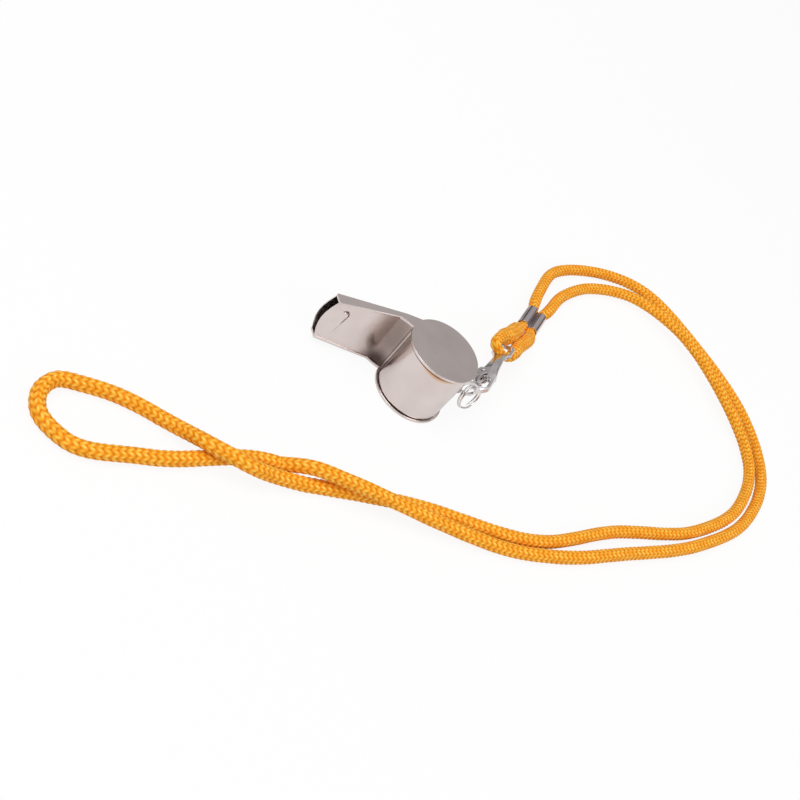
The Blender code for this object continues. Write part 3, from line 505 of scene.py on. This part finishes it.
def raise_tooth_crease(bm):
    """Raise the small angled crease out of the underside plate's outer face."""
    for x in CREASE_GRID_X:
        cut_through(bm, (x, 0, 0), (1, 0, 0))
    for z in CREASE_GRID_Z:
        cut_through(bm, (0, 0, z), (0, 0, 1))
    bm.normal_update()
    left, right = CREASE_BETWEEN_X
    outer = [v for v in bm.verts if left < v.co.x < right and any(f.normal.y < -0.9 for f in v.link_faces)]
    legs = [(Vector(a), Vector(b)) for a, b in zip(TOOTH_CREASE, TOOTH_CREASE[1:])]
    for vert in outer:
        here = Vector((vert.co.x, vert.co.z)) / MM
        nearest, fade = math.inf, 1.0
        for a, b in legs:
            share = min(1.0, max(0.0, (here - a).dot(b - a) / (b - a).length_squared))
            far = (here - a.lerp(b, share)).length
            if far < nearest:
                nearest, fade = far, (1 - share if (a, b) == legs[-1] else 1.0)
        side = min(1.0, nearest * MM / CREASE_HALF_WIDTH)
        strength = CREASE_FADES_TO + (1 - CREASE_FADES_TO) * fade
        vert.co.y -= CREASE_HEIGHT * (1 - side) ** CREASE_FLANK * strength


def shape_side_plate(bm):
    """Cut the side plate along the channel, and give what faces the inside of the whistle painted shade."""
    slope = (THROAT_UNDER_Y - TIP_UNDER_Y) / (THROAT_X - TIP_X)
    rise = (NOTCH_Y - TIP_TOP_Y) / (-math.sqrt(DISC_RADIUS ** 2 - NOTCH_Y ** 2) - TIP_X)
    cut_through(bm, (TIP_X, TIP_UNDER_Y + RIM + SHEET / 2, 0), (-slope, 1, 0))
    cut_through(bm, (TIP_X, TIP_TOP_Y - RIM - SHEET / 2, 0), (-rise, 1, 0))
    bm.normal_update()
    middle = WHISTLE_WIDTH / 2
    for face in bm.faces:
        at = face.calc_center_median()
        under = TIP_UNDER_Y + (at.x - TIP_X) * slope + RIM
        over = TIP_TOP_Y + (at.x - TIP_X) * rise - RIM
        faces_inside = abs(face.normal.z) > 0.9 and (at.z - middle) * face.normal.z < 0
        in_channel = at.x > TAPER_START_X or under < at.y < over
        lower_tip = face.normal.x < -0.7 and at.z < middle and at.x < TIP_X + MM
        if (faces_inside and in_channel) or lower_tip:
            face.material_index = 1


def shape_barrel_band(bm):
    """Give the inside of the band and its two edges painted shade."""
    bm.normal_update()
    blacken(f for f in bm.faces if abs(f.normal.z) > 0.9
            or f.normal.dot(Vector((*f.calc_center_median().xy, 0))) < 0)


def shape_ferrule(bm):
    """Pinch the sleeve deeper between its two strands."""
    middle = Vector(FERRULE_AT)
    left = Vector((-math.sin(FERRULE_HEADING), math.cos(FERRULE_HEADING), 0))
    for vert in bm.verts:
        across = (vert.co - middle).dot(left)
        pinch = PINCH_DEPTH * math.exp(-(across / PINCH_WIDTH) ** 2)
        vert.co.z = middle.z + (vert.co.z - middle.z) * (1 - pinch)


def clip_frame():
    """The clip's own frame: u from the hook to the eye, v to the gate's side, w through the thickness."""
    along = Vector((math.cos(CLIP_HEADING) * math.cos(CLIP_PITCH),
                    math.sin(CLIP_HEADING) * math.cos(CLIP_PITCH), math.sin(CLIP_PITCH)))
    flat_left = UP.cross(along).normalized()
    flat_up = along.cross(flat_left)
    left = flat_left * math.cos(CLIP_ROLL) - flat_up * math.sin(CLIP_ROLL)
    up = along.cross(left)
    return Matrix.Translation(CLIP_ORIGIN) @ Matrix((along, left, up)).transposed().to_4x4()


def shape_clip_body(bm):
    """Raise a ridge along the middle of both broad faces of the clip's body."""
    place = clip_frame()
    turned = place.to_3x3()
    for u in (RIDGE_START, RIDGE_START + RIDGE_RISES_OVER, RIDGE_MIDDLE, RIDGE_END):
        cut_through(bm, place @ Vector((u, 0, 0)), turned @ Vector((1, 0, 0)))
    cut_through(bm, place.translation, turned @ Vector((0, 1, 0)))
    back = place.inverted()
    for vert in bm.verts:
        u, v, w = back @ vert.co
        if abs(v) < NEAR and RIDGE_START < u < RIDGE_END and abs(w) > 0.5 * MM:
            lift = RIDGE_HEIGHT * min(1.0, (u - RIDGE_START) / RIDGE_RISES_OVER,
                                      (RIDGE_END - u) / RIDGE_FALLS_OVER)
            vert.co += turned @ Vector((0, 0, math.copysign(lift, w)))


def finished_copy(node, body, material, edge=0.0, rounder=0, flat=math.radians(30), shape=None, inside=None):
    """A copy of a model's piece with its triangles merged, and its edges rounded or its tube made rounder."""
    bm = bmesh.new()
    bm.from_mesh(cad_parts[node].data)
    bmesh.ops.remove_doubles(bm, verts=bm.verts, dist=SAME_POINT)
    bmesh.ops.dissolve_limit(bm, angle_limit=NEARLY_FLAT, verts=bm.verts, edges=bm.edges)
    if shape:
        shape(bm)
    mesh = bpy.data.meshes.new(node + "_finished")
    bm.to_mesh(mesh)
    bm.free()
    obj = object_from(node + "_finished", mesh, body, material, node)
    if inside:
        mesh.materials.append(inside)
    mesh.shade_smooth()
    mesh.set_sharp_from_angle(angle=flat)
    if edge:
        bevel = obj.modifiers.new("Rounded edges", "BEVEL")
        bevel.width = edge
        bevel.segments = EDGE_SEGMENTS
        bevel.limit_method = "ANGLE"
        bevel.angle_limit = flat
        bevel.harden_normals = True
    if rounder:
        subdivision = obj.modifiers.new("Rounder", "SUBSURF")
        subdivision.levels = rounder
        subdivision.render_levels = rounder
    return obj


def leaf_spring(material):
    """The gate's leaf, held in the clip's pocket: a finished copy with its place baked in, carried by no
    body.
    """
    leaf = finished_copy("clip_spring", None, material)
    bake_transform(leaf)


# Cords

def stitch_height(column, row):
    """Height of the knit, 0 in a groove and 1 on a crest: two slanting legs to each column, like a V."""
    across = abs(2 * (column % 1.0) - 1)
    along = row + LEG_SLANT * across
    leg = abs(math.sin(math.pi * along)) ** 0.9
    lens = max(0.0, math.sin(math.pi * across)) ** 0.7
    uneven = 1 - UNEVEN + UNEVEN * math.sin(5.3 * math.floor(along) + 2.9 * math.floor(column))
    return ((BETWEEN_STITCHES + (1 - BETWEEN_STITCHES) * leg)
            * (BETWEEN_COLUMNS + (1 - BETWEEN_COLUMNS) * lens) * uneven)


def knitted_tube(name, line, radii, material, node):
    """A closed tube along an even line, with the stitches in its surface."""
    bm = bmesh.new()
    height = bm.verts.layers.float.new("stitch")
    uv = bm.loops.layers.uv.new("UVMap")
    rows = [i * RING_STEP / STITCH_LENGTH for i in range(len(line))]
    rings = []
    side = UP.cross(line[1] - line[0]).normalized()
    for i, (here, radius, row) in enumerate(zip(line, radii, rows)):
        along = (line[min(i + 1, len(line) - 1)] - line[max(i - 1, 0)]).normalized()
        side = (side - along * side.dot(along)).normalized()
        over = along.cross(side)
        ring = []
        for k in range(POINTS_ROUND):
            turn = 2 * math.pi * k / POINTS_ROUND
            level = stitch_height(STITCH_COLUMNS * k / POINTS_ROUND + FIRST_COLUMN, row)
            out = radius - STITCH_DEPTH * (1 - level)
            vert = bm.verts.new(here + (side * math.cos(turn) + over * math.sin(turn)) * out)
            vert[height] = level
            ring.append(vert)
        rings.append(ring)
    for one, other, row, next_row in zip(rings, rings[1:], rows, rows[1:]):
        for k in range(POINTS_ROUND):
            j = (k + 1) % POINTS_ROUND
            face = bm.faces.new((one[k], one[j], other[j], other[k]))
            corners = ((k, row), (k + 1, row), (k + 1, next_row), (k, next_row))
            for loop, (a, b) in zip(face.loops, corners):
                loop[uv].uv = (a / POINTS_ROUND, b)
    bm.faces.new(rings[0][::-1])
    bm.faces.new(rings[-1])
    bmesh.ops.recalc_face_normals(bm, faces=bm.faces)
    mesh = bpy.data.meshes.new(name)
    bm.to_mesh(mesh)
    bm.free()
    mesh.shade_smooth()
    return object_from(name, mesh, "lanyard", material, node)


def strand_ends(end):
    """Where two strands enter the ferrule at its end (+1 far from the clip, -1 near it), left then right."""
    along = Vector((math.cos(FERRULE_HEADING), math.sin(FERRULE_HEADING), 0))
    left = Vector((-along.y, along.x, 0))
    half = FERRULE_LENGTH / 2
    places = ((half - CORD_ENTRY, CORD_SPREAD), (half + STRAND_MOUTH, CORD_SPREAD),
              (half + STRAND_CLEAR, CORD_SPREAD + STRAND_PARTS_BY))
    return [[Vector(FERRULE_AT) + along * end * a + left * side * b for a, b in places] for side in (1, -1)]


def crimped_radii(line, swells_over, full):
    """Half the cord's thickness at each point: crimped in the ferrule, full a short way out of it."""
    step = (line[1] - line[0]).length
    radii = []
    for i in range(len(line)):
        free = min(i, len(line) - 1 - i) * step - CORD_ENTRY
        share = grown(free, -CORD_FILLS_MOUTH, swells_over)
        radii.append((CORD_CRIMPED + (full - CORD_CRIMPED) * share) / 2)
    return radii


def neck_cord(material):
    left, right = strand_ends(1)
    route = [Vector(p) * MM for p in MAIN_ROUTE]
    line = even_points(smooth_curve([*left, *route, *reversed(right)]), RING_STEP)
    radii = crimped_radii(line, LANYARD_SWELLS_OVER, CORD_DIAMETER)
    for point, radius in zip(line, radii):
        point.z = max(point.z, radius + TABLE_GAP)
    piece = knitted_tube("knitted_neck_cord", line, radii, material, "lanyard_cord")


def eye_loop(material):
    """The short cord through the clip's eye: pulled tight there, slack towards the ferrule."""
    place = clip_frame()
    eye = place @ Vector((EYE_U, 0, 0))
    left, right = strand_ends(-1)
    route = [place @ Vector((EYE_U + u * MM, v * MM, w * MM)) for u, v, w in EYE_LOOP_ROUTE]
    line = even_points(smooth_curve([*left, *route, *reversed(right)]), RING_STEP)
    radii = crimped_radii(line, LOOP_SWELLS_OVER, LOOP_FULLEST)
    for i, point in enumerate(line):
        far = (point - eye).length
        tight = LOOP_IN_EYE + (LOOP_DIAMETER - LOOP_IN_EYE) * grown(far, *LOOP_LEAVES_EYE)
        slack = (LOOP_FULLEST - LOOP_DIAMETER) * grown(far, *LOOP_SLACKENS)
        if i > len(line) // 2:
            slack *= RIGHT_STRAND_SLACK
        radii[i] = min(radii[i], (tight + slack) / 2)
    piece = knitted_tube("knitted_eye_loop", line, radii, material, "eye_loop_cord")


# Studio

def white_table():
    """A pale table that shows white to the camera, partly white in the metal, and keeps its shadow."""
    mesh = bpy.data.meshes.new("table")
    bm = bmesh.new()
    bmesh.ops.create_grid(bm, x_segments=1, y_segments=1, size=TABLE_HALF_WIDTH)
    bmesh.ops.translate(bm, verts=bm.verts, vec=(0, 0, -TABLE_GAP))
    bm.to_mesh(mesh)
    bm.free()
    table = bpy.data.objects.new("table", mesh)
    bpy.context.scene.collection.objects.link(table)
    material, nodes, links, shader = new_material("white_table", TABLE_COLOUR, 0.6)
    rays = nodes.new("ShaderNodeLightPath")
    seen = calculate(nodes, links, "MULTIPLY", rays.outputs["Is Camera Ray"], TABLE_WHITE_SEEN)
    share = calculate(nodes, links, "MULTIPLY_ADD", rays.outputs["Is Glossy Ray"], TABLE_WHITE_MIRRORED, seen)
    white = nodes.new("ShaderNodeEmission")
    mix = nodes.new("ShaderNodeMixShader")
    links.new(share, mix.inputs["Fac"])
    links.new(shader.outputs["BSDF"], mix.inputs[1])
    links.new(white.outputs["Emission"], mix.inputs[2])
    links.new(mix.outputs["Shader"], nodes["Material Output"].inputs["Surface"])
    mesh.materials.append(material)


def sky():
    world = bpy.data.worlds.new("studio")
    bpy.context.scene.world = world
    world.use_nodes = True
    nodes, links = world.node_tree.nodes, world.node_tree.links
    place = nodes.new("ShaderNodeTexCoord")
    axes = nodes.new("ShaderNodeSeparateXYZ")
    links.new(place.outputs["Generated"], axes.inputs["Vector"])
    ramp(nodes, links, axes.outputs["Z"], SKY, nodes["Background"].inputs["Color"])
    nodes["Background"].inputs["Strength"].default_value = 1.0


def lamps():
    for name, at, size, power in LAMPS:
        lamp = bpy.data.lights.new(name, "AREA")
        lamp.size = size
        lamp.energy = power
        obj = bpy.data.objects.new(name, lamp)
        towards_object = (-Vector(at)).to_track_quat("-Z", "Y").to_matrix().to_4x4()
        obj.matrix_world = Matrix.Translation(at) @ towards_object
        bpy.context.scene.collection.objects.link(obj)


def camera():
    data = bpy.data.cameras.new("camera")
    data.sensor_width = CAMERA_SENSOR
    data.lens = CAMERA_LENS
    data.clip_start = 0.01
    obj = bpy.data.objects.new("camera", data)
    bpy.context.scene.collection.objects.link(obj)
    ahead = Vector(CAMERA_AHEAD).normalized()
    right = Vector(CAMERA_RIGHT)
    right = (right - ahead * right.dot(ahead)).normalized()
    turned = Matrix((right, right.cross(ahead), -ahead)).transposed().to_4x4()
    obj.matrix_world = Matrix.Translation(CAMERA_AT) @ turned
    bpy.context.scene.camera = obj


# The whole object

def cords():
    yarn = knitted_yarn()
    neck_cord(yarn)
    eye_loop(yarn)


def whistle():
    # Near-black material for the inside faces: painted shade.
    dark = dark_inside()
    plate = plated_metal("satin_nickel_sheet", SHEET_NICKEL, (1, 0.15, 1))
    finished_copy("side_plate_lower", "whistle", plate, 0.15 * MM, shape=shape_side_plate, inside=dark)
    finished_copy("side_plate_upper", "whistle", plate, 0.2 * MM, shape=shape_side_plate, inside=dark)
    # Tan crescent on the band, darker towards the rim, and a line of painted shade under the rim.
    band = tan_crescent_band(plated_metal("satin_nickel_band", SHEET_NICKEL, (1, 1, 0.15)))
    finished_copy("barrel_band", "whistle", band, shape=shape_barrel_band, inside=dark)
    finished_copy("mouthpiece_top_plate", "whistle", plate, shape=shape_top_plate, inside=dark)
    # Painted shade on the underside plate: the dark reflection and contact shadow in the throat, and the
    # shade along the crease.
    underside = painted_shade_ovals(plated_metal("satin_nickel_underside", SHEET_NICKEL, (0.15, 1, 1)),
                          THROAT_PAINTED_SHADE + CREASE_PAINTED_SHADE)
    finished_copy("mouthpiece_underside_plate", "whistle", underside,
                  shape=shape_underside_plate, inside=dark)


def small_pieces():
    bright = plated_metal("bright_nickel_wire", WIRE_NICKEL)
    # The sleeve gets painted shade in the pinch between its strands and along its lower side.
    shaded_sleeve = painted_shade_ovals(plated_metal("nickel_sleeve_painted_shade", SLEEVE_NICKEL), FERRULE_PAINTED_SHADE)
    lever = plated_metal("satin_nickel_lever", LEVER_NICKEL)
    cast = plated_metal("cast_nickel_clip", CAST_NICKEL)
    finished_copy("ring_lug", "whistle", bright, 0.08 * MM)
    finished_copy("pea", "pea", cork(), rounder=1, flat=ROUND_FORM)
    finished_copy("split_ring", "ring", bright, rounder=1, flat=ROUND_FORM)
    finished_copy("clip_body", "lanyard", cast, 0.1 * MM, flat=math.radians(18), shape=shape_clip_body)
    finished_copy("clip_gate", "gate", lever, 0.08 * MM)
    finished_copy("clip_pin", "lanyard", bright, 0.05 * MM)
    leaf_spring(lever)
    finished_copy("ferrule", "lanyard", shaded_sleeve, 0.08 * MM, flat=math.radians(50), shape=shape_ferrule)


camera()
white_table()
sky()
lamps()
cords()
whistle()
small_pieces()
bpy.context.scene.view_settings.view_transform = "Standard"
